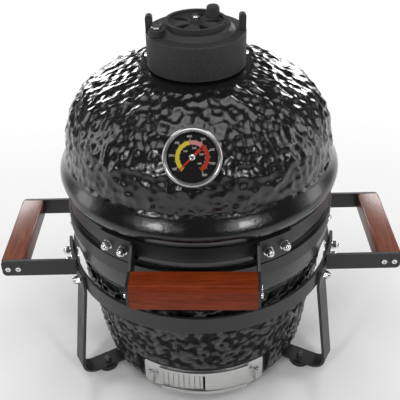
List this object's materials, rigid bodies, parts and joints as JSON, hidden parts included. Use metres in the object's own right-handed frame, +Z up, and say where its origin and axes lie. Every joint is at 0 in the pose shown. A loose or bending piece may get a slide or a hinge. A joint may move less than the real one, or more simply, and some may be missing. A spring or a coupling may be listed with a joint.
{
  "type": "kamado ceramic grill",
  "caption": "Table-top kamado grill: ceramic pot and hinged domed lid with daisy-wheel vent, thermometer, wooden handles, draft door and ring stand.",
  "frame": {"origin": "on the table under the middle of the round ceramic pot", "axes": "+Z up along the pot's axis, -Y towards the front handle and the draft door, X along the line through both side handles, +X towards the right-hand one seen from the front"},
  "size_m": [0.544, 0.4631, 0.5167],
  "materials": {
    "glazed_black": "gloss, hammered glaze",
    "fire_clay": "matte",
    "black_steel": "satin powder coat",
    "cap_iron": "matte, sandy",
    "grate_iron": "matte",
    "grate_steel": "satin",
    "stainless": "bright brushed",
    "zinc": "bright",
    "wood_front": "gloss lacquer",
    "wood_side": "satin lacquer",
    "felt": "matte felt",
    "rubber": "matte",
    "dial_face": "satin",
    "pointer_red": "satin",
    "lens": "gloss"
  },
  "bodies": {
    "base": {"base_shell": "glazed_black", "fire_box": "fire_clay", "fire_ring": "fire_clay", "base_gasket": "felt", "base_band": "black_steel", "stand_ring": "black_steel", "leg_left": "black_steel", "leg_right": "black_steel", "leg_rear": "black_steel", "side_arm_left_front": "black_steel", "side_arm_left_rear": "black_steel", "side_arm_right_front": "black_steel", "side_arm_right_rear": "black_steel", "hinge_lower": "black_steel", "charcoal_grate": "grate_iron", "cooking_grate": "grate_steel", "draft_frame": "stainless", "side_grip_left": "wood_side", "side_grip_right": "wood_side", "rubber_feet": "rubber", "foot_screws": "zinc", "leg_bolts": "zinc", "leg_nuts": "zinc", "side_arm_bolts": "zinc", "side_arm_nuts": "zinc", "side_grip_screws": "zinc", "hinge_studs_lower": "zinc", "hinge_nuts_lower": "zinc", "hinge_pin": "zinc", "draft_screws": "zinc"},
    "lid": {"lid_shell": "glazed_black", "lid_band": "black_steel", "lid_gasket": "felt", "hinge_upper": "black_steel", "hinge_studs_upper": "zinc", "hinge_nuts_upper": "zinc", "hinge_spring": "zinc", "front_bracket_left": "black_steel", "front_bracket_right": "black_steel", "front_grip": "wood_front", "front_grip_screws": "zinc", "front_studs": "zinc", "front_nuts": "zinc", "gauge_case": "stainless", "gauge_bezel": "stainless", "gauge_dial": "dial_face", "gauge_lens": "lens", "gauge_stem": "stainless", "gauge_nut": "zinc", "vent_cap": "cap_iron", "cap_gasket": "felt", "cap_screws": "zinc", "damper_pivot": "zinc"},
    "damper": {"damper_disc": "cap_iron", "daisy_bolt": "zinc"},
    "daisy": {"daisy_wheel": "cap_iron"},
    "screen": {"draft_screen": "stainless"},
    "door": {"draft_door": "stainless"},
    "pointer": {"gauge_pointer": "pointer_red"}
  },
  "joints": [
    {"name": "lid_hinge", "type": "hinge", "parent": "base", "child": "lid", "pos_m": [0, 0.219, 0.271], "axis": [-1, 0, 0], "range_deg": [0, 75]},
    {"name": "damper_swing", "type": "hinge", "parent": "lid", "child": "damper", "pos_m": [-0.046, -0.019, 0.497], "axis": [0, 0, -1], "range_deg": [0, 110]},
    {"name": "daisy_turn", "type": "hinge", "parent": "damper", "child": "daisy", "pos_m": [0, 0, 0.501], "axis": [0, 0, 1], "continuous": true},
    {"name": "draft_door_slide", "type": "hinge", "parent": "base", "child": "door", "pos_m": [0, 0, 0.034], "axis": [0, 0, -1], "range_deg": [0, 13.2]},
    {"name": "draft_screen_slide", "type": "hinge", "parent": "base", "child": "screen", "pos_m": [0, 0, 0.034], "axis": [0, 0, 1], "range_deg": [0, 13.2]},
    {"name": "gauge_turn", "type": "hinge", "parent": "lid", "child": "pointer", "pos_m": [-0.00593, -0.16165, 0.41176], "axis": [0.0288, 0.7851, -0.6187], "range_deg": [0, 270]}
  ]
}
